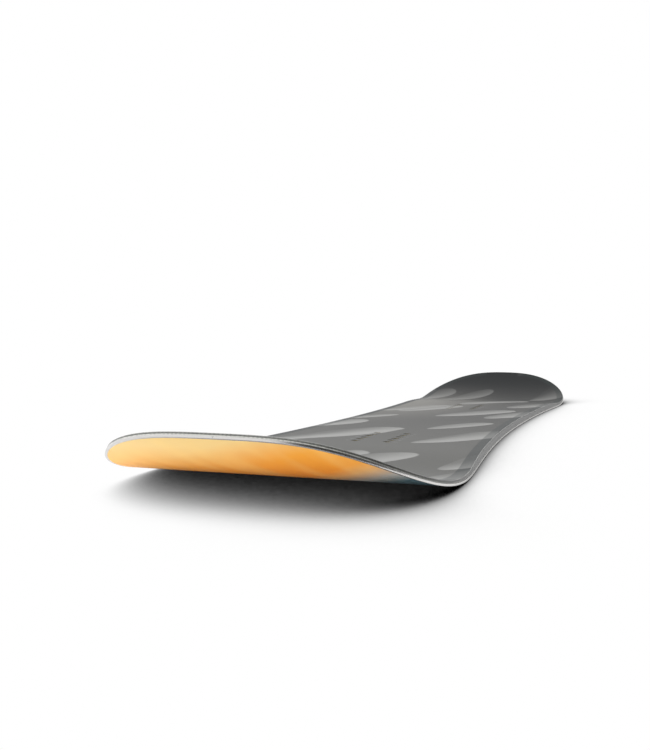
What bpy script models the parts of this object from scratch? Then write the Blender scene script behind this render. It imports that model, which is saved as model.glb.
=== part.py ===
"""Snowboard without bindings, in metres.

+X points to the nose, +Y to the board's left and +Z up. The origin is on the ground, under the middle of the
board's box. The board is laid up as it is in a press: each layer is cut out flat, along the rim of the board or
a little inside it, and the press then bends it up into the nose and the tail.

A place in the flat lay-up is (x, y, t): x and y as seen from above and t the height above the base's underside.
"""

import bisect
import math

import bmesh
import bpy
from mathutils import Vector

# Outline, seen from above
BOARD_LENGTH = 1.520
NOSE_WIDTH = 0.316
WAIST_WIDTH = 0.253
TAIL_WIDTH = 0.291
NOSE_LENGTH = 0.202  # from the widest place of the nose to its end
TAIL_LENGTH = 0.176
WAIST_SETBACK = 0.062  # the narrowest place lies this far behind the middle
NOSE_ROUNDNESS = (2.4, 3.3)  # powers of the superellipse, along and across
TAIL_ROUNDNESS = (2.25, 2.55)
SIDECUT_EASE = 12  # power that levels the sidecut out at the widest places

# Side view
NOSE_KICK_LENGTH = 0.314
NOSE_KICK_HEIGHT = 0.0575
NOSE_KICK_POWER = 3.2
TAIL_KICK_LENGTH = 0.242
TAIL_KICK_HEIGHT = 0.0525
TAIL_KICK_POWER = 2.1

# Layers, from the ground up
GLUE_LINE = 0.0003
BASE_THICKNESS = 0.0013
EDGE_HEIGHT = 0.0020
EDGE_WIDTH = 0.0022
PRONG_THICKNESS = 0.0004
PRONG_REACH = 0.0060
PRONG_PITCH = 0.0300
PRONG_ROOT_WIDTH = 0.0050
PRONG_TIP_WIDTH = 0.0090
LAMINATE_THICKNESS = 0.0005
CORE_THICKNESS = 0.0062
TIP_THICKNESS = 0.0012  # of the core and the spacers in the nose and the tail
TOPSHEET_THICKNESS = 0.0005

# Sides
SIDEWALL_STEP = 0.0004  # the wall stands this far in from the steel
SIDEWALL_WIDTH = 0.0088
SIDEWALL_SLOPE = 0.22  # run of the bevel for each unit of height

# Core
CENTRE_STRIP_WIDTH = 0.016
CORE_STRIP_WIDTH = 0.024
NARROWEST_STRIP = 0.25  # least width of the outermost strip, in full strips
CORE_NOSE_RECESS = 0.165  # from the end of the nose to the end of the core
CORE_TAIL_RECESS = 0.150
CORE_TAPER_LENGTH = 0.235

# Binding inserts
STANCE_WIDTH = 0.560
STANCE_SETBACK = 0.010
INSERTS_PER_ROW = 6
INSERT_PITCH = 0.020
INSERT_ROW_SPACING = 0.040
FLANGE_RADIUS = 0.0078
FLANGE_THICKNESS = 0.0012
BARREL_RADIUS = 0.0046
BORE_RADIUS = 0.00255  # minor radius of an M6 thread
BORE_FLOOR = 0.0010
MOUTH_DEPTH = 0.0004  # the insert ends this far below the top

# Fineness
NOSE_STEPS = 11
TAIL_STEPS = 10
STATION_SPACING = 0.090  # along the sidecut, where the board lies flat
KICK_STATION_SPACING = 0.035  # along the sidecut, where it bends up
LEAST_STATION_SPACING = 0.004
ROUND_STEPS = 12
SMOOTH_ANGLE = math.radians(35)
SAME_PLACE = 0.000001

NOSE_TIP = BOARD_LENGTH / 2
TAIL_TIP = -BOARD_LENGTH / 2
NOSE_WIDEST = NOSE_TIP - NOSE_LENGTH
TAIL_WIDEST = TAIL_TIP + TAIL_LENGTH
NOSE_CONTACT = NOSE_TIP - NOSE_KICK_LENGTH
TAIL_CONTACT = TAIL_TIP + TAIL_KICK_LENGTH
CORE_NOSE_END = NOSE_TIP - CORE_NOSE_RECESS
CORE_TAIL_END = TAIL_TIP + CORE_TAIL_RECESS

# Heights in the lay-up. The lower laminate climbs over the prongs at the rim, and lies on the base inside them.
PRONG_UNDERSIDE = EDGE_HEIGHT - PRONG_THICKNESS
LOWER_LAMINATE_INSIDE = BASE_THICKNESS + GLUE_LINE
LOWER_LAMINATE_AT_RIM = EDGE_HEIGHT + GLUE_LINE
CORE_UNDERSIDE = LOWER_LAMINATE_INSIDE + LAMINATE_THICKNESS + GLUE_LINE
RIM_UNDERSIDE = LOWER_LAMINATE_AT_RIM + LAMINATE_THICKNESS + GLUE_LINE

# Insets from the rim of the board
BASE_INSET = EDGE_WIDTH + GLUE_LINE
PRONG_INSET = EDGE_WIDTH + PRONG_REACH
CLIMB_OUTER_INSET = PRONG_INSET + GLUE_LINE
SIDEWALL_INSET = SIDEWALL_STEP + SIDEWALL_WIDTH
CLIMB_INNER_INSET = max(SIDEWALL_INSET, CLIMB_OUTER_INSET + LOWER_LAMINATE_AT_RIM - LOWER_LAMINATE_INSIDE)
CORE_INSET = CLIMB_INNER_INSET + GLUE_LINE

FRONT_FIELD = STANCE_WIDTH / 2 - STANCE_SETBACK
REAR_FIELD = -STANCE_WIDTH / 2 - STANCE_SETBACK


def half_width(x):
    """Half of the board's width at a place along it."""
    if x > NOSE_WIDEST:
        return tip_half_width((x - NOSE_WIDEST) / NOSE_LENGTH, NOSE_WIDTH, NOSE_ROUNDNESS)
    if x < TAIL_WIDEST:
        return tip_half_width((TAIL_WIDEST - x) / TAIL_LENGTH, TAIL_WIDTH, TAIL_ROUNDNESS)
    if x > -WAIST_SETBACK:
        share = (x + WAIST_SETBACK) / (NOSE_WIDEST + WAIST_SETBACK)
        flare = NOSE_WIDTH - WAIST_WIDTH
    else:
        share = (x + WAIST_SETBACK) / (TAIL_WIDEST + WAIST_SETBACK)
        flare = TAIL_WIDTH - WAIST_WIDTH
    eased = (SIDECUT_EASE * share**2 - 2 * share**SIDECUT_EASE) / (SIDECUT_EASE - 2)
    return (WAIST_WIDTH + flare * eased) / 2


def tip_half_width(share, width, roundness):
    along, across = roundness
    return width / 2 * max(0.0, 1 - min(share, 1.0) ** along) ** (1 / across)


def tip_stations(widest, length, steps, roundness):
    """Places along a tip, from its widest one to its end, spread evenly round the curve."""
    turns = [math.pi / 2 * step / steps for step in range(steps + 1)]
    return [widest + length * math.sin(turn) ** (2 / roundness[0]) for turn in turns]


def sidecut_stations():
    """Places along the sidecut, with one wherever the side view or the core begins to change."""
    changes = (TAIL_CONTACT, CORE_TAIL_END + CORE_TAPER_LENGTH, CORE_NOSE_END - CORE_TAPER_LENGTH, NOSE_CONTACT)
    low, high = TAIL_WIDEST + LEAST_STATION_SPACING, NOSE_WIDEST - LEAST_STATION_SPACING
    corners = [TAIL_WIDEST, *(place for place in sorted(changes) if low < place < high), NOSE_WIDEST]
    stations = []
    for near, far in zip(corners, corners[1:]):
        bends_up = near < TAIL_CONTACT or near >= NOSE_CONTACT
        steps = max(1, round((far - near) / (KICK_STATION_SPACING if bends_up else STATION_SPACING)))
        stations += [near + (far - near) * step / steps for step in range(steps)]
    return stations


def rim_of_board():
    """Corners of the outline's left half, from the end of the tail to the end of the nose."""
    tail = tip_stations(TAIL_WIDEST, -TAIL_LENGTH, TAIL_STEPS, TAIL_ROUNDNESS)
    nose = tip_stations(NOSE_WIDEST, NOSE_LENGTH, NOSE_STEPS, NOSE_ROUNDNESS)
    stations = tail[:0:-1] + sidecut_stations() + nose
    return [Vector((x, half_width(x))) for x in stations]


RIM = rim_of_board()


def inward(start, end):
    """Direction into the board, square to a stretch of its left rim that runs toward the nose."""
    along = (end - start).normalized()
    return Vector((along.y, -along.x))


def rim_point(index, inset):
    """Corner of the rim moved in, so that both stretches beside it move in by the inset."""
    mirror = Vector((1, -1))
    before = RIM[index - 1] if index > 0 else RIM[1] * mirror
    after = RIM[index + 1] if index < len(RIM) - 1 else RIM[-2] * mirror
    first = inward(before, RIM[index])
    second = inward(RIM[index], after)
    return RIM[index] + (first + second) * (inset / (1 + first.dot(second)))


def inset_half_width(x, inset):
    """Half of the width at a place along the board, inside its moved-in rim."""
    line = [rim_point(index, inset) for index in range(len(RIM))]
    index = min(max(bisect.bisect([point.x for point in line], x), 1), len(line) - 1)
    before, after = line[index - 1], line[index]
    return before.y + (after.y - before.y) * (x - before.x) / (after.x - before.x)


def core_top(x):
    """Height of the core's top, which comes down smoothly toward both of its ends."""
    beyond = max(x - CORE_NOSE_END, CORE_TAIL_END - x) + CORE_TAPER_LENGTH
    share = min(max(beyond / CORE_TAPER_LENGTH, 0), 1)
    thinned = (CORE_THICKNESS - TIP_THICKNESS) * (1 - math.cos(math.pi * share)) / 2
    return CORE_UNDERSIDE + CORE_THICKNESS - thinned


def upper_laminate_top(x):
    return core_top(x) + GLUE_LINE + LAMINATE_THICKNESS


def topsheet_underside(x):
    return upper_laminate_top(x) + GLUE_LINE


def topsheet_top(x):
    return topsheet_underside(x) + TOPSHEET_THICKNESS


def bevel_inset(t):
    """Inset of the bevelled side of the board at a height in the lay-up."""
    return SIDEWALL_STEP + SIDEWALL_SLOPE * (t - RIM_UNDERSIDE)


def press_form(x):
    """Height and slope of the press at a place along the board."""
    nose = max(0, (x - NOSE_CONTACT) / NOSE_KICK_LENGTH)
    tail = max(0, (TAIL_CONTACT - x) / TAIL_KICK_LENGTH)
    height = NOSE_KICK_HEIGHT * nose**NOSE_KICK_POWER + TAIL_KICK_HEIGHT * tail**TAIL_KICK_POWER
    nose_rise = NOSE_KICK_POWER * NOSE_KICK_HEIGHT / NOSE_KICK_LENGTH * nose ** (NOSE_KICK_POWER - 1)
    tail_rise = TAIL_KICK_POWER * TAIL_KICK_HEIGHT / TAIL_KICK_LENGTH * tail ** (TAIL_KICK_POWER - 1)
    return height, math.atan(nose_rise - tail_rise)


PRESS = [(corner.x, *press_form(corner.x)) for corner in RIM]


def press(x, y, t):
    """Where the press brings a place of the flat lay-up. It is flat between two corners of the rim."""
    index = min(max(bisect.bisect(PRESS, (x,)), 1), len(PRESS) - 1)
    bent = [
        Vector((station - t * math.sin(slope), y, height + t * math.cos(slope)))
        for station, height, slope in PRESS[index - 1 : index + 1]
    ]
    before, after = PRESS[index - 1][0], PRESS[index][0]
    return bent[0].lerp(bent[1], (x - before) / (after - before))


def make_material(name, colour, roughness, metallic=0.0):
    material = bpy.data.materials.new(name)
    material.use_nodes = True
    shader = material.node_tree.nodes["Principled BSDF"]
    shader.inputs["Base Color"].default_value = (*colour, 1)
    shader.inputs["Roughness"].default_value = roughness
    shader.inputs["Metallic"].default_value = metallic
    return material


def add_piece(name, mesh_edit, material):
    """Turn an edited mesh into a named object, smooth where it curves."""
    bmesh.ops.recalc_face_normals(mesh_edit, faces=mesh_edit.faces)
    mesh = bpy.data.meshes.new(name)
    mesh_edit.to_mesh(mesh)
    mesh_edit.free()
    mesh.materials.append(material)
    mesh.shade_smooth()
    mesh.set_sharp_from_angle(angle=SMOOTH_ANGLE)
    piece = bpy.data.objects.new(name, mesh)
    bpy.context.collection.objects.link(piece)
    return piece


def press_piece(mesh_edit):
    for vert in mesh_edit.verts:
        vert.co = press(*vert.co)


def cut_sheet(insets):
    """Cut a layer out flat: rings of faces along the rim, from the outermost inset in, round one scored face.

    Each inset is a function of the place along the board. The mesh keeps every corner's inset, so that the
    thickness of the layer can follow it.
    """
    sheet = bmesh.new()
    kept_inset = sheet.verts.layers.float.new("inset")
    rings = []
    for inset in insets:
        left = []
        for index, corner in enumerate(RIM):
            depth = inset(corner.x)
            vert = sheet.verts.new((*rim_point(index, depth), 0))
            vert[kept_inset] = depth
            left.append(vert)
        right = []
        for twin in left[1:-1]:
            vert = sheet.verts.new((twin.co.x, -twin.co.y, 0))
            vert[kept_inset] = twin[kept_inset]
            right.append(vert)
        rings.append(left + right[::-1])
    for outer, inner in zip(rings, rings[1:]):
        for corner in range(len(outer)):
            sheet.faces.new((outer[corner - 1], outer[corner], inner[corner], inner[corner - 1]))
    sheet.faces.new(rings[-1])
    score_across(sheet, rings[-1])
    return sheet


def score_across(sheet, ring):
    """Divide the innermost face wherever the layer bends or changes its thickness."""
    for index in range(1, len(RIM) - 1):
        flat_stretch = CORE_TAIL_END + CORE_TAPER_LENGTH < RIM[index].x < CORE_NOSE_END - CORE_TAPER_LENGTH
        if not flat_stretch:
            bmesh.ops.connect_verts(sheet, verts=[ring[index], ring[-index]])


def thicken_sheet(sheet, underside, topside):
    """Give a flat layer its two sides, each a height for a place along the board and an inset, and press it."""
    kept_inset = sheet.verts.layers.float["inset"]
    lower = list(sheet.verts)
    grown = bmesh.ops.extrude_face_region(sheet, geom=sheet.faces[:])
    upper = [part for part in grown["geom"] if isinstance(part, bmesh.types.BMVert)]
    for verts, height in ((lower, underside), (upper, topside)):
        for vert in verts:
            vert.co.z = height(vert.co.x, vert[kept_inset])
    press_piece(sheet)


def over_the_prongs(at_rim, inside):
    """A height that lies on the prongs near the rim and on the base inside them, with a short slope between."""

    def height(x, inset):
        share = (inset - CLIMB_OUTER_INSET) / (CLIMB_INNER_INSET - CLIMB_OUTER_INSET)
        return at_rim + (inside - at_rim) * min(max(share, 0), 1)

    return height


def loft(sections):
    """A closed solid through sections of equally many corners."""
    solid = bmesh.new()
    face = solid.faces.new([solid.verts.new(corner) for corner in sections[0]])
    for section in sections[1:]:
        grown = bmesh.ops.extrude_face_region(solid, geom=[face])
        if len(solid.faces) > len(section) + 2:
            bmesh.ops.delete(solid, geom=[face], context="FACES_ONLY")
        face = next(part for part in grown["geom"] if isinstance(part, bmesh.types.BMFace))
        for vert, corner in zip(face.verts, section):
            vert.co = corner
    return solid


def lathe(profile):
    """A closed solid turned about Z from a profile whose two ends lie on the axis."""
    turned = bmesh.new()
    line = [turned.verts.new((radius, 0, height)) for radius, height in profile]
    edges = [turned.edges.new(pair) for pair in zip(line, line[1:])]
    bmesh.ops.spin(turned, geom=line + edges, axis=(0, 0, 1), angle=2 * math.pi, steps=ROUND_STEPS)
    bmesh.ops.remove_doubles(turned, verts=turned.verts, dist=SAME_PLACE)
    return turned


def beside_core(inset):
    """A moved-in rim beside the core: its corners between the core's two ends, and its points at those ends."""
    low = CORE_TAIL_END + GLUE_LINE / 2
    high = CORE_NOSE_END - GLUE_LINE / 2
    inside = [
        rim_point(index, inset)
        for index, corner in enumerate(RIM)
        if low + LEAST_STATION_SPACING < corner.x < high - LEAST_STATION_SPACING
    ]
    ends = [Vector((x, inset_half_width(x, inset))) for x in (low, high)]
    return [ends[0], *inside, ends[1]]


def add_base():
    """The running base, a plain sheet let in between the steel edges."""
    sheet = cut_sheet([lambda x: BASE_INSET])
    thicken_sheet(sheet, lambda x, inset: 0, lambda x, inset: BASE_THICKNESS)
    add_piece("base", sheet, make_material("base_polyethylene", (0.80, 0.36, 0.08), 0.35))


def prong_places(length):
    """Shares of a stretch of edge between which each prong stands."""
    count = max(1, round(length / PRONG_PITCH))
    half = PRONG_ROOT_WIDTH / 2 / length
    return [((step + 0.5) / count - half, (step + 0.5) / count + half) for step in range(count)]


def add_steel_edge(name, side, material):
    """A steel rail along half of the rim, with prongs that widen inward and lie over the base.

    The rail and its prongs are drawn from above, extruded to the thickness of a prong, and the rail alone is
    then extruded down to the ground.
    """
    edge = bmesh.new()
    rails = []
    outer = [edge.verts.new((*rim_point(index, 0), PRONG_UNDERSIDE)) for index in range(len(RIM))]
    inner = [edge.verts.new((*rim_point(index, EDGE_WIDTH), PRONG_UNDERSIDE)) for index in range(len(RIM))]
    for index in range(len(RIM) - 1):
        start, end = inner[index].co.copy(), inner[index + 1].co.copy()
        reach = Vector((*inward(start.xy, end.xy), 0)) * PRONG_REACH
        along = (end - start).normalized()
        flare = along * (PRONG_TIP_WIDTH - PRONG_ROOT_WIDTH) / 2
        notches = []
        for shares in prong_places((end - start).length):
            near, far = (edge.verts.new(start.lerp(end, share)) for share in shares)
            near_tip = edge.verts.new(near.co + reach - flare)
            far_tip = edge.verts.new(far.co + reach + flare)
            edge.faces.new((near, far, far_tip, near_tip))
            notches += [near, far]
        rails.append(edge.faces.new((outer[index], outer[index + 1], inner[index + 1], *notches[::-1], inner[index])))
    grown = bmesh.ops.extrude_face_region(edge, geom=edge.faces[:])
    for part in grown["geom"]:
        if isinstance(part, bmesh.types.BMVert):
            part.co.z = EDGE_HEIGHT
    grown = bmesh.ops.extrude_face_region(edge, geom=rails)
    bmesh.ops.delete(edge, geom=rails, context="FACES_KEEP_BOUNDARY")
    for part in grown["geom"]:
        if isinstance(part, bmesh.types.BMVert):
            part.co.z = 0
    for vert in edge.verts:
        vert.co.y = side * max(vert.co.y, GLUE_LINE / 2)
    press_piece(edge)
    add_piece(name, edge, material)


def add_lower_laminate():
    """Glass-fibre layer that lies on the base and climbs over the prongs of the steel edges."""
    sheet = cut_sheet([lambda x: SIDEWALL_STEP, lambda x: CLIMB_OUTER_INSET, lambda x: CLIMB_INNER_INSET])
    rise = LOWER_LAMINATE_AT_RIM, LOWER_LAMINATE_INSIDE
    thicken_sheet(sheet, over_the_prongs(*rise), over_the_prongs(*(t + LAMINATE_THICKNESS for t in rise)))
    add_piece("lower_laminate", sheet, make_material("lower_glass_fibre", (0.62, 0.66, 0.58), 0.5))


def add_spacer(name, cut_at, outward):
    """Plastic filler that carries the core's thickness on to the end of the board."""
    top_inset = bevel_inset(core_top(cut_at))
    sheet = cut_sheet([lambda x: top_inset, lambda x: CLIMB_OUTER_INSET, lambda x: CLIMB_INNER_INSET])
    whole = sheet.verts[:] + sheet.edges[:] + sheet.faces[:]
    line = {"plane_co": (cut_at, 0, 0), "plane_no": (outward, 0, 0)}
    bmesh.ops.bisect_plane(sheet, geom=whole, dist=SAME_PLACE, clear_inner=True, **line)
    thicken_sheet(sheet, over_the_prongs(RIM_UNDERSIDE, CORE_UNDERSIDE), lambda x, inset: core_top(x))
    add_piece(name, sheet, make_material(name + "_plastic", (0.09, 0.09, 0.085), 0.4))


def add_sidewall(name, side, material):
    """Plastic wall beside the core, whose outer side leans in where the pressed board is bevelled."""
    foot = beside_core(SIDEWALL_STEP)
    inner = beside_core(SIDEWALL_INSET)
    sections = []
    for outside, inside in zip(foot, inner):
        top = core_top(outside.x)
        leaning = outside.lerp(inside, (bevel_inset(top) - SIDEWALL_STEP) / SIDEWALL_WIDTH)
        corners = (
            (outside, RIM_UNDERSIDE),
            (leaning, top),
            (inside, top),
            (inside, RIM_UNDERSIDE),
        )
        sections.append([press(place.x, side * place.y, t) for place, t in corners])
    add_piece(name, loft(sections), material)


def core_strip(near, limits, side):
    """A strip of the core from one glue line out to its limit at each place along it."""
    sections = []
    for x, limit in limits:
        corners = (
            (near, CORE_UNDERSIDE),
            (limit, CORE_UNDERSIDE),
            (limit, core_top(x)),
            (near, core_top(x)),
        )
        sections.append([press(x, side * y, t) for y, t in corners])
    return loft(sections)


def add_core(insert_cutter):
    """The wooden core: a centre strip, and on each side equal strips and one cut to the curve of the sidewall."""
    rim_of_core = beside_core(CORE_INSET)
    narrowest = min(place.y for place in rim_of_core)
    first_line = CENTRE_STRIP_WIDTH / 2
    equal_strips = int((narrowest - first_line) / CORE_STRIP_WIDTH - NARROWEST_STRIP)
    lines = [first_line + CORE_STRIP_WIDTH * step for step in range(equal_strips + 1)]
    poplar = make_material("poplar", (0.74, 0.58, 0.36), 0.7)
    beech = make_material("beech", (0.62, 0.38, 0.20), 0.65)
    half_joint = GLUE_LINE / 2
    centre = [(place.x, first_line - half_joint) for place in rim_of_core]
    add_piece("core_strip_centre", core_strip(half_joint - first_line, centre, 1), poplar)
    pocket = FLANGE_RADIUS + GLUE_LINE
    for side, word in ((1, "left"), (-1, "right")):
        for step, near in enumerate(lines):
            far = lines[step + 1] if step < equal_strips else math.inf
            limits = [(place.x, min(far - half_joint, place.y)) for place in rim_of_core]
            carries_inserts = near < INSERT_ROW_SPACING / 2 + pocket and far > INSERT_ROW_SPACING / 2 - pocket
            strip = add_piece(
                f"core_strip_{word}_{step + 1}",
                core_strip(near + half_joint, limits, side),
                beech if carries_inserts else poplar,
            )
            if carries_inserts:
                cut_insert_holes(strip, insert_cutter)


def add_upper_laminate(insert_cutter):
    """Glass-fibre layer over the core, the sidewalls and the spacers."""
    sheet = cut_sheet([lambda x: bevel_inset(core_top(x) + GLUE_LINE)])
    thicken_sheet(sheet, lambda x, inset: core_top(x) + GLUE_LINE, lambda x, inset: upper_laminate_top(x))
    piece = add_piece("upper_laminate", sheet, make_material("upper_glass_fibre", (0.62, 0.66, 0.58), 0.5))
    cut_insert_holes(piece, insert_cutter)


def add_topsheet(insert_cutter):
    """Printed top skin, open over each insert."""
    sheet = cut_sheet([lambda x: bevel_inset(topsheet_underside(x))])
    thicken_sheet(sheet, lambda x, inset: topsheet_underside(x), lambda x, inset: topsheet_top(x))
    piece = add_piece("topsheet", sheet, make_material("topsheet_film", (0.18, 0.18, 0.17), 0.38))
    cut_insert_holes(piece, insert_cutter)


def insert_places():
    """Name and place of each binding insert: two fields, each with a row on either side of the middle."""
    half_row = (INSERTS_PER_ROW - 1) / 2 * INSERT_PITCH
    for field, middle in (("front", FRONT_FIELD), ("rear", REAR_FIELD)):
        for side, word in ((1, "left"), (-1, "right")):
            for step in range(INSERTS_PER_ROW):
                x = middle + half_row - step * INSERT_PITCH
                yield f"insert_{field}_{word}_{step + 1}", x, side * INSERT_ROW_SPACING / 2


def make_insert_cutter():
    """Guide shape that cuts a stepped hole for each insert, from the core's underside up through the topsheet."""
    foot = CORE_UNDERSIDE - GLUE_LINE
    shoulder = CORE_UNDERSIDE + FLANGE_THICKNESS + GLUE_LINE
    head = topsheet_top(FRONT_FIELD) + BORE_FLOOR
    pocket, hole = FLANGE_RADIUS + GLUE_LINE, BARREL_RADIUS + GLUE_LINE
    drill = lathe([(0, foot), (pocket, foot), (pocket, shoulder), (hole, shoulder), (hole, head), (0, head)])
    bmesh.ops.recalc_face_normals(drill, faces=drill.faces)
    one_hole = bpy.data.meshes.new("insert_hole")
    drill.to_mesh(one_hole)
    drill.free()
    drills = bmesh.new()
    for _, x, y in insert_places():
        already = len(drills.verts)
        drills.from_mesh(one_hole)
        bmesh.ops.translate(drills, vec=(x, y, 0), verts=drills.verts[already:])
    mesh = bpy.data.meshes.new("insert_cutter")
    drills.to_mesh(mesh)
    drills.free()
    cutter = bpy.data.objects.new("insert_cutter", mesh)
    cutter.hide_render = True
    cutter.display_type = "WIRE"
    bpy.context.collection.objects.link(cutter)
    return cutter


def cut_insert_holes(piece, cutter):
    holes = piece.modifiers.new("insert holes", "BOOLEAN")
    holes.operation = "DIFFERENCE"
    holes.solver = "EXACT"
    holes.object = cutter


def add_inserts():
    """Flanged steel inserts, set into the core from below, with a blind bore that opens at the top."""
    foot = CORE_UNDERSIDE
    mouth = topsheet_top(FRONT_FIELD) - MOUTH_DEPTH
    profile = [
        (0, foot),
        (FLANGE_RADIUS, foot),
        (FLANGE_RADIUS, foot + FLANGE_THICKNESS),
        (BARREL_RADIUS, foot + FLANGE_THICKNESS),
        (BARREL_RADIUS, mouth),
        (BORE_RADIUS, mouth),
        (BORE_RADIUS, foot + BORE_FLOOR),
        (0, foot + BORE_FLOOR),
    ]
    steel = make_material("insert_steel", (0.55, 0.54, 0.52), 0.35, 1.0)
    shared_mesh = None
    for name, x, y in insert_places():
        if shared_mesh is None:
            insert = add_piece(name, lathe(profile), steel)
            shared_mesh = insert.data
        else:
            insert = bpy.data.objects.new(name, shared_mesh)
            bpy.context.collection.objects.link(insert)
        insert.location = (x, y, 0)


for leftover in list(bpy.data.objects):
    bpy.data.objects.remove(leftover)

steel_edge = make_material("edge_steel", (0.62, 0.61, 0.59), 0.28, 1.0)
sidewall = make_material("sidewall_plastic", (0.30, 0.30, 0.29), 0.4)
cutter = make_insert_cutter()

add_base()
add_steel_edge("steel_edge_left", 1, steel_edge)
add_steel_edge("steel_edge_right", -1, steel_edge)
add_lower_laminate()
add_inserts()
add_core(cutter)
add_sidewall("sidewall_left", 1, sidewall)
add_sidewall("sidewall_right", -1, sidewall)
add_spacer("nose_spacer", CORE_NOSE_END + GLUE_LINE / 2, 1)
add_spacer("tail_spacer", CORE_TAIL_END - GLUE_LINE / 2, -1)
add_upper_laminate(cutter)
add_topsheet(cutter)
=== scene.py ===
import math

import bmesh
import bpy
from mathutils import Matrix, Vector


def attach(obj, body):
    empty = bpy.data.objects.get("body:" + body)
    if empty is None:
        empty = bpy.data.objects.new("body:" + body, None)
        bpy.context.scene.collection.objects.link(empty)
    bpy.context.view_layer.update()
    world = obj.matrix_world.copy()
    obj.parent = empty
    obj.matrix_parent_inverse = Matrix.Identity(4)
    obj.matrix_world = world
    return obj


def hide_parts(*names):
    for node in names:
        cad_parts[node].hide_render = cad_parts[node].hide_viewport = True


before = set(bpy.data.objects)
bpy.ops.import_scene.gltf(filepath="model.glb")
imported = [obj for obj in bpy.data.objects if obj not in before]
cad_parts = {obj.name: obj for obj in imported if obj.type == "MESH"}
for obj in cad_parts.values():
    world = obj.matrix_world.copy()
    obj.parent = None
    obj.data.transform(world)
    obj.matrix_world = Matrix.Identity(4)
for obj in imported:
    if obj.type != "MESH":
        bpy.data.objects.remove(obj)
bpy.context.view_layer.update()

# Running base. A sheet of sintered polyethylene, printed in a soft fade and sealed, then ground on a stone
# that leaves fine grooves along the board. It is cut to the outline of the board, inside the steel edges, so
# the outline and the form of the press stand here.
BOARD_LENGTH = 1.520
NOSE_WIDTH = 0.316
WAIST_WIDTH = 0.253
TAIL_WIDTH = 0.291
NOSE_LENGTH = 0.202
TAIL_LENGTH = 0.176
WAIST_SETBACK = 0.062
NOSE_ROUNDNESS = (2.4, 3.3)  # powers of the superellipse, along and across
TAIL_ROUNDNESS = (2.25, 2.55)
SIDECUT_EASE = 12  # power with which the sidecut comes to its widest places
NOSE_KICK_LENGTH = 0.314
NOSE_KICK_HEIGHT = 0.0575
NOSE_KICK_POWER = 3.2  # with which the rise sets in
TAIL_KICK_LENGTH = 0.242
TAIL_KICK_HEIGHT = 0.0525
TAIL_KICK_POWER = 2.1
BASE_THICKNESS = 0.0013
EDGE_WIDTH = 0.0022
SEAM = 0.00006  # what shows of the glue between two layers
WELD = SEAM / 10  # corners that lie closer are one
RIM_STEP = 0.0025  # between two stations along the rim
OUTLINE_SAMPLES = 1500
SMOOTH_ANGLE = math.radians(32)  # up to which two faces shade as one
CORNER_ANGLE = math.radians(55)  # from which their corner is rounded

NOSE_TIP = BOARD_LENGTH / 2
TAIL_TIP = -BOARD_LENGTH / 2
NOSE_WIDEST = NOSE_TIP - NOSE_LENGTH
TAIL_WIDEST = TAIL_TIP + TAIL_LENGTH


def tip_outline(widest, length, width, roundness):
    """A quarter of the outline, from the widest place of a tip to its end, as a superellipse."""
    along, across = roundness
    for sample in range(OUTLINE_SAMPLES + 1):
        angle = math.pi / 2 * sample / OUTLINE_SAMPLES
        x = widest + length * math.sin(angle) ** (2 / along)
        yield Vector((x, width / 2 * math.cos(angle) ** (2 / across)))


def sidecut_outline():
    """The hollow side between the two widest places, from the tail to the nose."""
    for sample in range(1, OUTLINE_SAMPLES):
        x = TAIL_WIDEST + (NOSE_WIDEST - TAIL_WIDEST) * sample / OUTLINE_SAMPLES
        widest, width = (NOSE_WIDEST, NOSE_WIDTH) if x > -WAIST_SETBACK else (TAIL_WIDEST, TAIL_WIDTH)
        share = (x + WAIST_SETBACK) / (widest + WAIST_SETBACK)
        eased = (SIDECUT_EASE * share**2 - 2 * share**SIDECUT_EASE) / (SIDECUT_EASE - 2)
        yield Vector((x, (WAIST_WIDTH + (width - WAIST_WIDTH) * eased) / 2))


def walk(curve):
    """Points at equal steps along a curve."""
    runs = [0.0]
    for before, after in zip(curve, curve[1:]):
        runs.append(runs[-1] + (after - before).length)
    steps = round(runs[-1] / RIM_STEP)
    points = [curve[0]]
    index = 0
    for step in range(1, steps):
        run = runs[-1] * step / steps
        while runs[index + 1] < run:
            index += 1
        share = (run - runs[index]) / (runs[index + 1] - runs[index])
        points.append(curve[index].lerp(curve[index + 1], share))
    return [*points, curve[-1]]


tail = list(tip_outline(TAIL_WIDEST, -TAIL_LENGTH, TAIL_WIDTH, TAIL_ROUNDNESS))
nose = list(tip_outline(NOSE_WIDEST, NOSE_LENGTH, NOSE_WIDTH, NOSE_ROUNDNESS))
RIM = walk(tail[::-1] + list(sidecut_outline()) + nose)
LAST_ROW = len(RIM) - 1


def inward(row):
    """Direction into the board, square to its left rim."""
    if row in (0, LAST_ROW):
        return Vector((1 if row == 0 else -1, 0))
    along = (RIM[row + 1] - RIM[row - 1]).normalized()
    return Vector((along.y, -along.x))


INWARD = [inward(row) for row in range(LAST_ROW + 1)]


def rim_point(row, inset):
    """Place on the left side at a station along the rim, which may lie between two, and an inset from it."""
    before = min(int(row), LAST_ROW - 1)
    share = row - before
    start = RIM[before] + INWARD[before] * inset
    return start.lerp(RIM[before + 1] + INWARD[before + 1] * inset, share)


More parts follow.
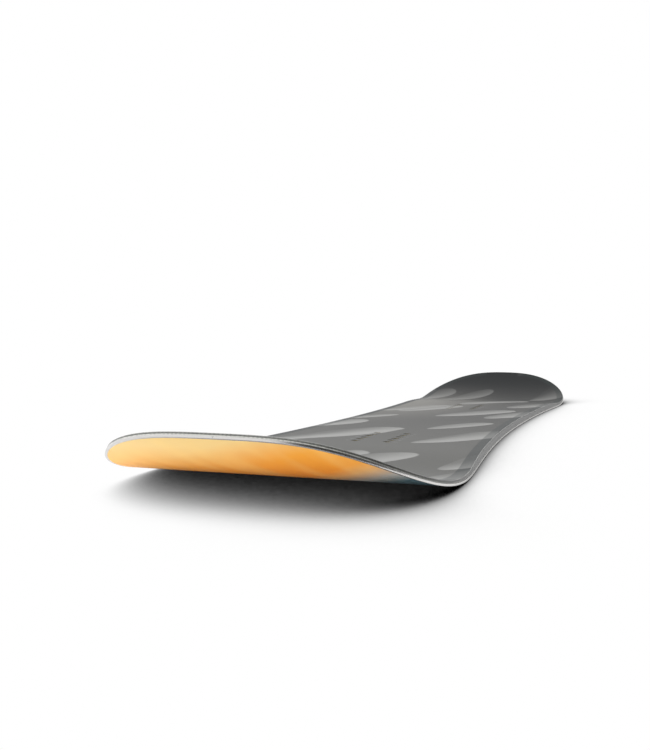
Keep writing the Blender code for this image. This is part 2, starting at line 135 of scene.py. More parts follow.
def press(x, y, t):
    """Where the press brings a place of the lay-up: it bends the nose and the tail up."""
    nose_share = max(0, (x - NOSE_TIP) / NOSE_KICK_LENGTH + 1)
    tail_share = max(0, (TAIL_TIP - x) / TAIL_KICK_LENGTH + 1)
    height = NOSE_KICK_HEIGHT * nose_share**NOSE_KICK_POWER + TAIL_KICK_HEIGHT * tail_share**TAIL_KICK_POWER
    nose_rise = NOSE_KICK_POWER * NOSE_KICK_HEIGHT / NOSE_KICK_LENGTH * nose_share ** (NOSE_KICK_POWER - 1)
    tail_rise = TAIL_KICK_POWER * TAIL_KICK_HEIGHT / TAIL_KICK_LENGTH * tail_share ** (TAIL_KICK_POWER - 1)
    slope = math.atan(nose_rise - tail_rise)
    return Vector((x - t * math.sin(slope), y, height + t * math.cos(slope)))


def lay_sheet(offsets, side, underside, topside, rows=None, hands=(-1, 1)):
    """A layer of the board before the press, as a closed slab on a grid that follows the rim.

    Its rows are stations along the rim, and its hands the sides of the board that it covers. Its columns lie
    at offsets from the side, whose inset is a function of the height: close together at the rim, to keep the
    corner there crisp. The underside and the topside are heights for a place along the board and an offset.
    The mesh keeps how far each corner lies along the rim, in from the rim and above the base's underside,
    for the patterns that follow the board.
    """
    rows = rows or list(range(LAST_ROW + 1))
    columns = [(offset, hands[0]) for offset in offsets]
    if len(hands) > 1:
        columns += [(offset, hands[1]) for offset in reversed(offsets)]
    sheet = bmesh.new()
    row_of = sheet.verts.layers.int.new("row")
    column_of = sheet.verts.layers.int.new("column")
    run_of = sheet.verts.layers.float.new("rim_run")
    inset_of = sheet.verts.layers.float.new("rim_inset")
    height_of = sheet.verts.layers.float.new("layup_height")
    bmesh.ops.create_grid(sheet, x_segments=len(rows) - 1, y_segments=len(columns) - 1, size=1)
    for vert in sheet.verts:
        vert[row_of] = round((vert.co.x + 1) / 2 * (len(rows) - 1))
        vert[column_of] = round((vert.co.y + 1) / 2 * (len(columns) - 1))
        offset, hand = columns[vert[column_of]]
        place = rim_point(rows[vert[row_of]], side(0) + offset)
        vert.co = (place.x, hand * place.y, 0)
    bmesh.ops.remove_doubles(sheet, verts=sheet.verts, dist=WELD)
    lower = set(sheet.verts)
    bmesh.ops.extrude_face_region(sheet, geom=sheet.faces[:])
    for vert in sheet.verts:
        row = rows[vert[row_of]]
        offset, hand = columns[vert[column_of]]
        height = underside if vert in lower else topside
        t = height(rim_point(row, offset).x, offset)
        inset = side(t) + offset
        place = rim_point(row, inset)
        vert.co = (place.x, hand * place.y, t)
        vert[run_of] = row * RIM_STEP
        vert[inset_of] = inset
        vert[height_of] = t
    sheet.verts.layers.int.remove(sheet.verts.layers.int["row"])
    sheet.verts.layers.int.remove(sheet.verts.layers.int["column"])
    bmesh.ops.recalc_face_normals(sheet, faces=sheet.faces)
    return sheet


def round_edges(piece, radius, chosen):
    """Take the sharpness off the chosen corners of a piece."""
    piece.normal_update()
    sharp = [
        edge
        for edge in piece.edges
        if edge.is_manifold and edge.calc_face_angle() > CORNER_ANGLE and chosen(edge)
    ]
    bmesh.ops.bevel(
        piece,
        geom=sharp,
        offset=radius,
        segments=2,
        profile=0.5,
        affect="EDGES",
        material=-1,
        clamp_overlap=True,
    )


def add_piece(name, mesh_edit, material, pressed=True):
    """Press a piece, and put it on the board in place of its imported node."""
    if pressed:
        for vert in mesh_edit.verts:
            vert.co = press(*vert.co)
    bmesh.ops.recalc_face_normals(mesh_edit, faces=mesh_edit.faces)
    mesh = bpy.data.meshes.new(name + "_looks")
    mesh_edit.to_mesh(mesh)
    mesh_edit.free()
    mesh.materials.append(material)
    mesh.shade_smooth()
    mesh.set_sharp_from_angle(angle=SMOOTH_ANGLE)
    piece = bpy.data.objects.new(name + "_looks", mesh)
    bpy.context.collection.objects.link(piece)
    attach(piece, "root")
    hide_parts(name)
    return piece


def linear(hex_colour):
    """Linear colour of an sRGB hex value."""
    channels = [int(hex_colour[start : start + 2], 16) / 255 for start in (1, 3, 5)]
    return (*(c / 12.92 if c <= 0.04045 else ((c + 0.055) / 1.055) ** 2.4 for c in channels), 1)


def add_node(owner, kind, inputs=None, **settings):
    """Add a shader node to a material or the world. Its inputs are values, nodes or outputs of nodes."""
    node = owner.node_tree.nodes.new("ShaderNode" + kind)
    for setting, value in settings.items():
        setattr(node, setting, value)
    for socket, value in (inputs or {}).items():
        if isinstance(value, bpy.types.Node):
            value = value.outputs[0]
        if isinstance(value, bpy.types.NodeSocket):
            owner.node_tree.links.new(value, node.inputs[socket])
        else:
            node.inputs[socket].default_value = value
    return node


def new_material(name, roughness, metallic=0.0, ior=1.5):
    """An opaque material with its shader, ready for the nodes of its colour."""
    material = bpy.data.materials.new(name)
    material.use_nodes = True
    shader = material.node_tree.nodes["Principled BSDF"]
    shader.inputs["Roughness"].default_value = roughness
    shader.inputs["Metallic"].default_value = metallic
    shader.inputs["IOR"].default_value = ior
    return material, shader


# Sintered polyethylene, printed and stone ground: a waxy, half-glossy plastic whose colours run softly into
# each other, with fine grooves along the board that stretch its highlights.
BASE_FADE = (  # a place on the fade, and its colour
    (-0.04, "#f5d590"),
    (0.24, "#f7a930"),
    (0.43, "#f29c1c"),
    (0.50, "#e4b06c"),
    (0.60, "#a9a9a5"),
    (0.69, "#4b6770"),
    (1.10, "#2c4753"),
)
FADE_ACROSS = 3.1  # of the fade for each metre toward the left
FADE_BACK = 1.5  # of it, times the square root of the metres back from the nose
FADE_AT_NOSE = -0.18  # its place at the tip of the nose
PALE_BEHIND = "#f4b040"  # what the palest colour has turned to behind the tip
PALE_REACH = (0.02, 0.09)  # from the tip
TIP_PAINTED_SHADE = 0.74  # painted shade: how bright the print is left at the very tip, against the rest
TIP_SHADE_REACH = 0.07  # from the tip, over which the painted shade fades out
FADE_DRIFT = 0.10  # of the fade, by which soft patches shift it
DRIFT_SIZE = 0.16
STREAK_SIZE = (0.200, 0.032, 1)
STREAK_TURN = math.radians(-12)
STREAK_EDGES = (0.48, 0.68)  # of the noise, from the ground to a full streak
STREAK_STRENGTH = 0.3
STREAKS_END = (0.44, 0.56)  # on the fade
GROOVE_PITCH = 0.0012  # 0.4 mm on a real base, drawn coarser so that it shows
GROOVE_LENGTH = 0.120
GROOVE_DEPTH = 0.00002

base_print, shader = new_material("sintered_polyethylene_stone_ground", roughness=0.45, ior=1.51)
shader.inputs["Specular IOR Level"].default_value = 0.2
where = add_node(base_print, "TexCoord").outputs["Object"]
axes = add_node(base_print, "SeparateXYZ", {0: where})
drift = add_node(base_print, "TexNoise", {"Vector": where, "Scale": 1 / DRIFT_SIZE, "Detail": 1})
drift = add_node(base_print, "Math", {0: drift, 1: 0.5}, operation="SUBTRACT")
from_nose = add_node(base_print, "Math", {0: NOSE_TIP, 1: axes.outputs["X"]}, operation="SUBTRACT")
back = add_node(base_print, "Math", {0: from_nose, 1: 0.5}, operation="POWER")
back = add_node(base_print, "Math", {0: back, 1: FADE_BACK, 2: FADE_AT_NOSE}, operation="MULTIPLY_ADD")
fade = add_node(
    base_print, "Math", {0: axes.outputs["Y"], 1: FADE_ACROSS, 2: back}, operation="MULTIPLY_ADD"
)
fade = add_node(base_print, "Math", {0: drift, 1: FADE_DRIFT, 2: fade}, operation="MULTIPLY_ADD")
behind = add_node(
    base_print, "MapRange", {"Value": from_nose, "From Min": PALE_REACH[0], "From Max": PALE_REACH[1]}
)
colour = add_node(
    base_print, "MixRGB", {"Fac": behind, "Color1": linear(BASE_FADE[0][1]), "Color2": linear(PALE_BEHIND)}
)
for (near, _), (far, far_colour) in zip(BASE_FADE, BASE_FADE[1:]):
    share = add_node(base_print, "MapRange", {"Value": fade, "From Min": near, "From Max": far})
    colour = add_node(base_print, "MixRGB", {"Fac": share, "Color1": colour, "Color2": linear(far_colour)})
slanted = add_node(
    base_print,
    "Mapping",
    {"Vector": where, "Rotation": (0, 0, STREAK_TURN), "Scale": STREAK_SIZE},
    vector_type="TEXTURE",
)
streaks = add_node(base_print, "TexNoise", {"Vector": slanted, "Scale": 1, "Detail": 1})
streaks = add_node(
    base_print, "MapRange", {"Value": streaks, "From Min": STREAK_EDGES[0], "From Max": STREAK_EDGES[1]}
)
strength = add_node(
    base_print,
    "MapRange",
    {
        "Value": fade,
        "From Min": STREAKS_END[0],
        "From Max": STREAKS_END[1],
        "To Min": STREAK_STRENGTH,
        "To Max": 0,
    },
)
strength = add_node(base_print, "Math", {0: streaks, 1: strength}, operation="MULTIPLY")
colour = add_node(base_print, "MixRGB", {"Fac": strength, "Color1": colour, "Color2": linear("#ffdb88")})
# Painted shade: the print is darkened toward the very tip of the nose.
tone = add_node(base_print, "MapRange", {"Value": from_nose, "From Max": TIP_SHADE_REACH, "To Min": TIP_PAINTED_SHADE})
shaded_print = add_node(base_print, "VectorMath", {0: colour, "Scale": tone}, operation="SCALE")
base_print.node_tree.links.new(shaded_print.outputs[0], shader.inputs["Base Color"])
grain = (GROOVE_LENGTH, GROOVE_PITCH, 1)
ground = add_node(base_print, "Mapping", {"Vector": where, "Scale": grain}, vector_type="TEXTURE")
grooves = add_node(base_print, "TexNoise", {"Vector": ground, "Scale": 1, "Detail": 2})
bump = add_node(base_print, "Bump", {"Height": grooves, "Distance": GROOVE_DEPTH})
base_print.node_tree.links.new(bump.outputs[0], shader.inputs["Normal"])

base = lay_sheet(
    offsets=(0, 0.0005, 0.004, 0.014),
    side=lambda t: EDGE_WIDTH + SEAM,
    underside=lambda x, offset: 0,
    topside=lambda x, offset: BASE_THICKNESS,
)
add_piece("base", base, base_print)

# Steel edges. Two hardened steel rails, bent to the outline and butted at the two ends of the board, with
# prongs that lie over the base and hold them in the laminate. They are ground after the press.
EDGE_HEIGHT = 0.0020
PRONG_THICKNESS = 0.0004
PRONG_REACH = 0.0060
PRONG_FLARE = 0.0020
PRONG_PITCH = 12  # stations from one prong to the next
PRONG_STATIONS = 2
EDGE_ROUNDING = 0.00012

# Carbon steel, ground with a belt along the rim: bright, with fine scratches that run with the edge and blur
# what it mirrors.
SCRATCH_LENGTH = 0.012
SCRATCH_WIDTH = 0.0002  # a belt's grit leaves 0.05 mm, drawn coarser so that it shows
SCRATCH_DEPTH = 0.000004

edge_steel, shader = new_material("carbon_steel_belt_ground", roughness=0.26, metallic=1.0)
run = add_node(edge_steel, "Attribute", attribute_name="rim_run")
across = add_node(edge_steel, "Attribute", attribute_name="layup_height")
place = add_node(edge_steel, "CombineXYZ", {"X": run.outputs["Fac"], "Y": across.outputs["Fac"]})
belt = add_node(
    edge_steel,
    "Mapping",
    {"Vector": place, "Scale": (SCRATCH_LENGTH, SCRATCH_WIDTH, 1)},
    vector_type="TEXTURE",
)
scratches = add_node(edge_steel, "TexNoise", {"Vector": belt, "Scale": 1, "Detail": 3})
tone = add_node(
    edge_steel, "MixRGB", {"Fac": scratches, "Color1": linear("#c8c6c4"), "Color2": linear("#eeecea")}
)
edge_steel.node_tree.links.new(tone.outputs[0], shader.inputs["Base Color"])
bump = add_node(edge_steel, "Bump", {"Height": scratches, "Distance": SCRATCH_DEPTH})
edge_steel.node_tree.links.new(bump.outputs[0], shader.inputs["Normal"])


def cut_steel_edge(hand):
    """A rail with its prongs along half of the rim: drawn from above, raised, and taken down at the rail."""
    prong_underside = EDGE_HEIGHT - PRONG_THICKNESS
    edge = bmesh.new()
    run_of = edge.verts.layers.float.new("rim_run")
    height_of = edge.verts.layers.float.new("layup_height")
    bmesh.ops.create_grid(edge, x_segments=LAST_ROW, y_segments=1, size=1)
    inner = {}
    for vert in edge.verts:
        row = round((vert.co.x + 1) / 2 * LAST_ROW)
        is_inner = vert.co.y > 0
        place = rim_point(row, EDGE_WIDTH if is_inner else 0)
        vert.co = (place.x, max(place.y, SEAM / 2), prong_underside)
        vert[run_of] = row * RIM_STEP
        if is_inner:
            inner[vert] = row
    rail = edge.faces[:]
    prong_start = PRONG_PITCH // 2 - 1
    roots = [
        link
        for link in edge.edges
        if all(vert in inner for vert in link.verts)
        and 0 <= min(inner[vert] for vert in link.verts) % PRONG_PITCH - prong_start < PRONG_STATIONS
    ]
    rows_of_roots = {vert.co.copy().freeze(): inner[vert] for link in roots for vert in link.verts}
    grown = bmesh.ops.extrude_edge_only(edge, edges=roots)
    for vert in grown["geom"]:
        if isinstance(vert, bmesh.types.BMVert):
            row = rows_of_roots[vert.co.copy().freeze()]
            along = Vector((-INWARD[row].y, INWARD[row].x))
            place_in_prong = row % PRONG_PITCH - prong_start
            flare = along * (2 * place_in_prong / PRONG_STATIONS - 1) * PRONG_FLARE
            vert.co += Vector((*(INWARD[row] * PRONG_REACH + flare), 0))
    grown = bmesh.ops.extrude_face_region(edge, geom=edge.faces[:])
    for vert in grown["geom"]:
        if isinstance(vert, bmesh.types.BMVert):
            vert.co.z = EDGE_HEIGHT
    grown = bmesh.ops.extrude_face_region(edge, geom=rail)
    bmesh.ops.delete(edge, geom=rail, context="FACES_KEEP_BOUNDARY")
    for vert in grown["geom"]:
        if isinstance(vert, bmesh.types.BMVert):
            vert.co.z = 0
    bmesh.ops.recalc_face_normals(edge, faces=edge.faces)
    round_edges(edge, EDGE_ROUNDING, lambda link: all(vert not in inner for vert in link.verts))
    for vert in edge.verts:
        vert[height_of] = vert.co.z
    bmesh.ops.scale(edge, vec=(1, hand, 1), verts=edge.verts)
    return edge


for hand, word in ((1, "left"), (-1, "right")):
    add_piece(f"steel_edge_{word}", cut_steel_edge(hand), edge_steel)

# Lower laminate. Glass fibre stitched in three directions and soaked in epoxy, which lies on the base and
# climbs over the prongs of the steel edges. Only its cut side shows, as a thin line above the steel.
LAMINATE_THICKNESS = 0.0005
GLUE_LINE = 0.0003
SIDEWALL_STEP = 0.0004
SIDEWALL_WIDTH = 0.0088
CLIMB_START = EDGE_WIDTH + PRONG_REACH + GLUE_LINE
CLIMB_END = SIDEWALL_STEP + SIDEWALL_WIDTH
CORE_UNDERSIDE = BASE_THICKNESS + GLUE_LINE + LAMINATE_THICKNESS + GLUE_LINE
RIM_UNDERSIDE = EDGE_HEIGHT + GLUE_LINE + LAMINATE_THICKNESS + GLUE_LINE


def over_the_prongs(at_rim, inside):
    """A height that lies on the prongs near the rim, and on the base inside them."""

    def height(x, offset):
        share = (SIDEWALL_STEP + offset - CLIMB_START) / (CLIMB_END - CLIMB_START)
        return at_rim + (inside - at_rim) * min(max(share, 0), 1)

    return height


# Stitched glass fibre in epoxy: a little glossy, with the slanted yarns as pale bands in the resin.
YARN_WIDTH = 0.0026
YARN_RELIEF = 0.00003
YARN_SWAY = 0.6
YARN_EDGES = (0.3, 0.9)  # of a wave, from bare resin to the middle of a yarn
YARN_SHOWS = 0.6  # through the resin
WAVES_PER_METRE = 20 / math.tau  # of the wave texture at a scale of 1


def glass_fibre(name, resin, yarn):
    """Glass fibre whose yarns lie at 45 degrees to both sides of the board's length."""
    laminate, shader = new_material(name, roughness=0.4, ior=1.55)
    where = add_node(laminate, "TexCoord").outputs["Object"]
    colour = linear(resin)
    for slant in (math.radians(45), math.radians(-45)):
        layer = add_node(laminate, "Mapping", {"Vector": where, "Rotation": (0, 0, slant)})
        scale = 1 / YARN_WIDTH / WAVES_PER_METRE
        yarns = add_node(laminate, "TexWave", {"Vector": layer, "Scale": scale, "Distortion": YARN_SWAY})
        share = add_node(
            laminate,
            "MapRange",
            {
                "Value": yarns.outputs["Fac"],
                "From Min": YARN_EDGES[0],
                "From Max": YARN_EDGES[1],
                "To Max": YARN_SHOWS,
            },
        )
        colour = add_node(laminate, "MixRGB", {"Fac": share, "Color1": colour, "Color2": linear(yarn)})
    laminate.node_tree.links.new(colour.outputs[0], shader.inputs["Base Color"])
    bump = add_node(laminate, "Bump", {"Height": yarns.outputs["Fac"], "Distance": YARN_RELIEF})
    laminate.node_tree.links.new(bump.outputs[0], shader.inputs["Normal"])
    return laminate


lower_fibre = glass_fibre("stitched_glass_fibre_in_clear_epoxy", "#8b8b87", "#acaca6")

CLIMB_OFFSETS = (0, 0.0005, CLIMB_START - SIDEWALL_STEP, CLIMB_END - SIDEWALL_STEP)
lower_laminate = lay_sheet(
    offsets=CLIMB_OFFSETS,
    side=lambda t: SIDEWALL_STEP,
    underside=over_the_prongs(EDGE_HEIGHT + SEAM, BASE_THICKNESS + SEAM),
    topside=over_the_prongs(RIM_UNDERSIDE - SEAM, CORE_UNDERSIDE - SEAM),
)
add_piece("lower_laminate", lower_laminate, lower_fibre)

# Sidewalls. Strips of ABS, laid in on both sides of the core between the nose and tail spacers and glued
# there in the press. The board's side is milled to a slight lean afterwards.
CORE_THICKNESS = 0.0062
TIP_THICKNESS = 0.0012
CORE_NOSE_END = NOSE_TIP - 0.165
CORE_TAIL_END = TAIL_TIP + 0.150
CORE_TAPER_LENGTH = 0.235
SIDEWALL_SLOPE = 0.22
INNER_PLAY = 0.0012  # what the lean takes of its width on the side of the core


def core_top(x):
    """Height of the core's top, which comes down smoothly toward both of its ends."""
    beyond = max(x - CORE_NOSE_END, CORE_TAIL_END - x) + CORE_TAPER_LENGTH
    share = min(max(beyond / CORE_TAPER_LENGTH, 0), 1)
    taken_off = (CORE_THICKNESS - TIP_THICKNESS) * (1 - math.cos(math.pi * share)) / 2
    return CORE_UNDERSIDE + CORE_THICKNESS - taken_off


def milled_side(t):
    """Inset of the milled side of the board at a height in the lay-up."""
    return SIDEWALL_STEP + SIDEWALL_SLOPE * (t - RIM_UNDERSIDE)


def rows_between(low, high):
    """Stations from one place along the board to another, with the two places themselves."""
    inner = [row for row, point in enumerate(RIM) if low < point.x < high]
    ends = []
    for x, row in ((low, inner[0] - 1), (high, inner[-1])):
        ends.append(row + (x - RIM[row].x) / (RIM[row + 1].x - RIM[row].x))
    return [ends[0], *inner, ends[1]]


# ABS, milled: a dark, half-glossy plastic with fine lines along the rim where the cutter ran.
MILL_LINE = 0.0005
MILL_RUN = 0.060
MILL_RELIEF = 0.000012


def side_cut_plastic(name, dark, pale):
    """Plastic with the lines of the tool that cut its side, which keep to one height all along the rim."""
    plastic, shader = new_material(name, roughness=0.38, ior=1.53)
    run = add_node(plastic, "Attribute", attribute_name="rim_run")
    height = add_node(plastic, "Attribute", attribute_name="layup_height")
    place = add_node(plastic, "CombineXYZ", {"X": run.outputs["Fac"], "Y": height.outputs["Fac"]})
    tool_path = add_node(
        plastic, "Mapping", {"Vector": place, "Scale": (MILL_RUN, MILL_LINE, 1)}, vector_type="TEXTURE"
    )
    lines = add_node(plastic, "TexNoise", {"Vector": tool_path, "Scale": 1, "Detail": 2})
    mixed = add_node(plastic, "MixRGB", {"Fac": lines, "Color1": linear(dark), "Color2": linear(pale)})
    plastic.node_tree.links.new(mixed.outputs[0], shader.inputs["Base Color"])
    bump = add_node(plastic, "Bump", {"Height": lines, "Distance": MILL_RELIEF})
    plastic.node_tree.links.new(bump.outputs[0], shader.inputs["Normal"])
    return plastic


sidewall_plastic = side_cut_plastic("abs_milled_sidewall", "#313130", "#757574")

inner_side = SIDEWALL_WIDTH - INNER_PLAY
for hand, word in ((1, "left"), (-1, "right")):
    sidewall = lay_sheet(
        offsets=(0, 0.0004, inner_side - 0.0003, inner_side),
        side=milled_side,
        underside=lambda x, offset: RIM_UNDERSIDE,
        topside=lambda x, offset: core_top(x),
        rows=rows_between(CORE_TAIL_END + SEAM / 2, CORE_NOSE_END - SEAM / 2),
        hands=(hand,),
    )
    add_piece(f"sidewall_{word}", sidewall, sidewall_plastic)

# Tip spacers. Plates of ABS, laid in against both ends of the core, which carry its thickness on to the ends
# of the board. Their side is milled with the sidewalls and shows in the rim of nose and tail.
JUST_INSIDE = 0.0001  # from the very tip
spacer_plastic = side_cut_plastic("abs_milled_tip", "#2c2c2b", "#585857")
beyond_nose = rows_between(CORE_NOSE_END + SEAM / 2, NOSE_TIP - JUST_INSIDE)[:-1] + [LAST_ROW]
beyond_tail = [0] + rows_between(TAIL_TIP + JUST_INSIDE, CORE_TAIL_END - SEAM / 2)[1:]
for name, rows in (("nose_spacer", beyond_nose), ("tail_spacer", beyond_tail)):
    spacer = lay_sheet(
        offsets=CLIMB_OFFSETS,
        side=milled_side,
        underside=over_the_prongs(RIM_UNDERSIDE, CORE_UNDERSIDE),
        topside=lambda x, offset: core_top(x),
        rows=rows,
    )
    add_piece(name, spacer, spacer_plastic)

# Core. Strips of poplar glued side by side, with the strips that carry the inserts of beech. The wood is
# planed to its taper and closed in on all sides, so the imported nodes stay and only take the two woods.
GRAIN_LENGTH = 0.140
RING_WIDTH = 0.0021
RING_EDGES = (0.42, 0.66)  # of the noise, from early to late wood
GRAIN_RELIEF = 0.00004
INSERT_STRIPS = ("core_strip_left_1", "core_strip_right_1")


def planed_wood(name, early, late, roughness):
    """Wood planed along its grain: dull, with long fine lines where the late rings are cut."""
    wood, shader = new_material(name, roughness=roughness, ior=1.53)
    where = add_node(wood, "TexCoord").outputs["Object"]
    grain = (GRAIN_LENGTH, RING_WIDTH, RING_WIDTH)
    along = add_node(wood, "Mapping", {"Vector": where, "Scale": grain}, vector_type="TEXTURE")
    rings = add_node(wood, "TexNoise", {"Vector": along, "Scale": 1, "Detail": 4})
    late_wood = add_node(
        wood, "MapRange", {"Value": rings, "From Min": RING_EDGES[0], "From Max": RING_EDGES[1]}
    )
    mixed = add_node(wood, "MixRGB", {"Fac": late_wood, "Color1": linear(early), "Color2": linear(late)})
    wood.node_tree.links.new(mixed.outputs[0], shader.inputs["Base Color"])
    bump = add_node(wood, "Bump", {"Height": rings, "Distance": GRAIN_RELIEF})
    wood.node_tree.links.new(bump.outputs[0], shader.inputs["Normal"])
    return wood


poplar = planed_wood("poplar_planed", "#dcc79c", "#c2a676", 0.7)
beech = planed_wood("beech_planed", "#cfa178", "#a8764f", 0.62)
for name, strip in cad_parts.items():
    if name.startswith("core_strip"):
        strip.data.materials.clear()
        strip.data.materials.append(beech if name in INSERT_STRIPS else poplar)

# Binding inserts. Turned steel bushes with a wide foot, set into the beech strips from below before the
# press. Each has a blind bore with an M6 thread, and stands a little below the face of the topsheet.
STANCE_WIDTH = 0.560
STANCE_SETBACK = 0.010
INSERTS_PER_ROW = 6
INSERT_PITCH = 0.020
INSERT_ROW_SPACING = 0.040
FLANGE_RADIUS = 0.0078
FLANGE_THICKNESS = 0.0012
BARREL_RADIUS = 0.0046
BORE_FLOOR = 0.0010  # left under the bore
MOUTH_DEPTH = 0.0004
THREAD_PITCH = 0.001
THREAD_MAJOR_RADIUS = 0.0030
THREAD_MINOR_RADIUS = 0.00255
THREAD_ROOT = THREAD_PITCH * 0.42  # half the ridge's width where it stands on the bore
THREAD_CREST = THREAD_PITCH * 0.08  # and at its top
THREAD_RUN_OUT = 0.0006  # of bore left plain at each end of the thread
STEPS_PER_TURN = 24
TURNED_CHAMFER = 0.00025
TOPSHEET_THICKNESS = 0.0005
TURNING_LINE = 0.00012
TURNING_RELIEF = 0.000004

# Free-cutting steel, turned, zinc plated and dipped yellow: a dull straw-coloured metal with the rings of
# the lathe tool.
insert_steel, shader = new_material("yellow_zinc_plated_steel_turned", roughness=0.34, metallic=1.0)
where = add_node(insert_steel, "TexCoord").outputs["Object"]
rings = add_node(insert_steel, "TexNoise", {"Vector": where, "Scale": 1 / TURNING_LINE, "Detail": 2})
tone = add_node(
    insert_steel, "MixRGB", {"Fac": rings, "Color1": linear("#8e8468"), "Color2": linear("#b9ac86")}
)
insert_steel.node_tree.links.new(tone.outputs[0], shader.inputs["Base Color"])
bump = add_node(insert_steel, "Bump", {"Height": rings, "Distance": TURNING_RELIEF})
insert_steel.node_tree.links.new(bump.outputs[0], shader.inputs["Normal"])


def insert_places():
    """Name and place of each insert: two fields, each with a row on either side of the middle."""
    half_row = (INSERTS_PER_ROW - 1) / 2 * INSERT_PITCH
    for field, middle in (("front", STANCE_WIDTH / 2), ("rear", -STANCE_WIDTH / 2)):
        for side, word in ((1, "left"), (-1, "right")):
            for step in range(INSERTS_PER_ROW):
                x = middle - STANCE_SETBACK + half_row - step * INSERT_PITCH
                yield f"insert_{field}_{word}_{step + 1}", x, side * INSERT_ROW_SPACING / 2


def turn(profile):
    """A solid turned about Z, from a profile of radii and heights."""
    turned = bmesh.new()
    line = [turned.verts.new((radius, 0, height)) for radius, height in profile]
    edges = [turned.edges.new(pair) for pair in zip(line, line[1:])]
    bmesh.ops.spin(
        turned, geom=line + edges, axis=(0, 0, 1), angle=math.tau, steps=STEPS_PER_TURN, use_merge=True
    )
    bmesh.ops.remove_doubles(turned, verts=turned.verts, dist=WELD)
    return turned


DECK_TOP = CORE_UNDERSIDE + CORE_THICKNESS + 2 * GLUE_LINE + LAMINATE_THICKNESS + TOPSHEET_THICKNESS
INSERT_MOUTH = DECK_TOP - MOUTH_DEPTH


def turn_insert():
    """One insert with its thread, a ridge wound up the bore."""
    foot = CORE_UNDERSIDE
    shoulder = foot + FLANGE_THICKNESS
    bottom = foot + BORE_FLOOR
    insert = turn([
        (0, foot),
        (FLANGE_RADIUS - TURNED_CHAMFER, foot),
        (FLANGE_RADIUS, foot + TURNED_CHAMFER),
        (FLANGE_RADIUS, shoulder - TURNED_CHAMFER),
        (FLANGE_RADIUS - TURNED_CHAMFER, shoulder),
        (BARREL_RADIUS, shoulder),
        (BARREL_RADIUS, INSERT_MOUTH - TURNED_CHAMFER),
        (BARREL_RADIUS - TURNED_CHAMFER, INSERT_MOUTH),
        (THREAD_MAJOR_RADIUS + TURNED_CHAMFER, INSERT_MOUTH),
        (THREAD_MAJOR_RADIUS, INSERT_MOUTH - TURNED_CHAMFER),
        (THREAD_MAJOR_RADIUS, bottom + TURNED_CHAMFER),
        (0, bottom),
    ])
    start = bottom + THREAD_RUN_OUT
    steps = math.floor((INSERT_MOUTH - THREAD_RUN_OUT - start) / THREAD_PITCH * STEPS_PER_TURN)
    section = [
        insert.verts.new((radius, 0, start + height))
        for radius, height in (
            (THREAD_MAJOR_RADIUS + SEAM, -THREAD_ROOT),
            (THREAD_MINOR_RADIUS, -THREAD_CREST),
            (THREAD_MINOR_RADIUS, THREAD_CREST),
            (THREAD_MAJOR_RADIUS + SEAM, THREAD_ROOT),
        )
    ]
    face = insert.faces.new(section)
    wound = bmesh.ops.spin(
        insert,
        geom=face.edges[:],
        axis=(0, 0, 1),
        dvec=(0, 0, THREAD_PITCH / STEPS_PER_TURN),
        angle=math.tau * (steps / STEPS_PER_TURN),
        steps=steps,
    )
    last = [part for part in wound["geom_last"] if isinstance(part, bmesh.types.BMEdge)]
    bmesh.ops.contextual_create(insert, geom=last)
    return insert


for name, x, y in insert_places():
    insert = turn_insert()
    bmesh.ops.translate(insert, vec=(x, y, 0), verts=insert.verts)
    add_piece(name, insert, insert_steel, pressed=False)

# Upper laminate. The same glass fibre over the core, the sidewalls and the spacers, in a resin dyed dark.
# After the press it is drilled through to each insert, together with the topsheet.
HOLE_PLAY = 0.0003
COUNTERSINK = 0.00025
PLAIN_LAMINATE = 0.004  # inset of its plain middle

drilled = bmesh.new()
for _, x, y in insert_places():
    hole = BARREL_RADIUS + HOLE_PLAY
    drill = turn([
        (0, CORE_UNDERSIDE + CORE_THICKNESS - GLUE_LINE),
        (hole, CORE_UNDERSIDE + CORE_THICKNESS - GLUE_LINE),
        (hole, DECK_TOP - COUNTERSINK),
        (hole + 2 * COUNTERSINK, DECK_TOP + COUNTERSINK),
        (0, DECK_TOP + COUNTERSINK),
    ])
    bmesh.ops.translate(drill, vec=(x, y, 0), verts=drill.verts)
    bmesh.ops.recalc_face_normals(drill, faces=drill.faces)
    one_drill = bpy.data.meshes.new("drill")
    drill.to_mesh(one_drill)
    drill.free()
    drilled.from_mesh(one_drill)
    bpy.data.meshes.remove(one_drill)
drill_mesh = bpy.data.meshes.new("drills")
drilled.to_mesh(drill_mesh)
drilled.free()
drills = bpy.data.objects.new("drills", drill_mesh)
bpy.context.collection.objects.link(drills)


def drill_inserts_free(piece, plain_inset):
    """Drill a laid piece over each insert, and give the corners of the holes the plain middle's inset."""
    holes = piece.modifiers.new("holes", "BOOLEAN")
    holes.solver = "EXACT"
    holes.object = drills
    cut_mesh = bpy.data.meshes.new_from_object(piece.evaluated_get(bpy.context.evaluated_depsgraph_get()))
    piece.modifiers.clear()
    edit = bmesh.new()
    edit.from_mesh(cut_mesh)
    inset_of = edit.verts.layers.float["rim_inset"]
    for vert in edit.verts:
        if abs(vert.co.y) < INSERT_ROW_SPACING:
            vert[inset_of] = max(vert[inset_of], plain_inset)
    edit.to_mesh(piece.data)
    edit.free()
    bpy.data.meshes.remove(cut_mesh)
    piece.data.shade_smooth()
    piece.data.set_sharp_from_angle(angle=SMOOTH_ANGLE)


upper_fibre = glass_fibre("stitched_glass_fibre_in_dark_epoxy", "#4b4c49", "#666863")
upper_laminate = lay_sheet(
    offsets=(0, 0.0005, PLAIN_LAMINATE),
    side=milled_side,
    underside=lambda x, offset: core_top(x) + SEAM,
    topside=lambda x, offset: core_top(x) + 2 * GLUE_LINE + LAMINATE_THICKNESS - SEAM,
)
upper_laminate_piece = add_piece("upper_laminate", upper_laminate, upper_fibre)
drill_inserts_free(upper_laminate_piece, PLAIN_LAMINATE)

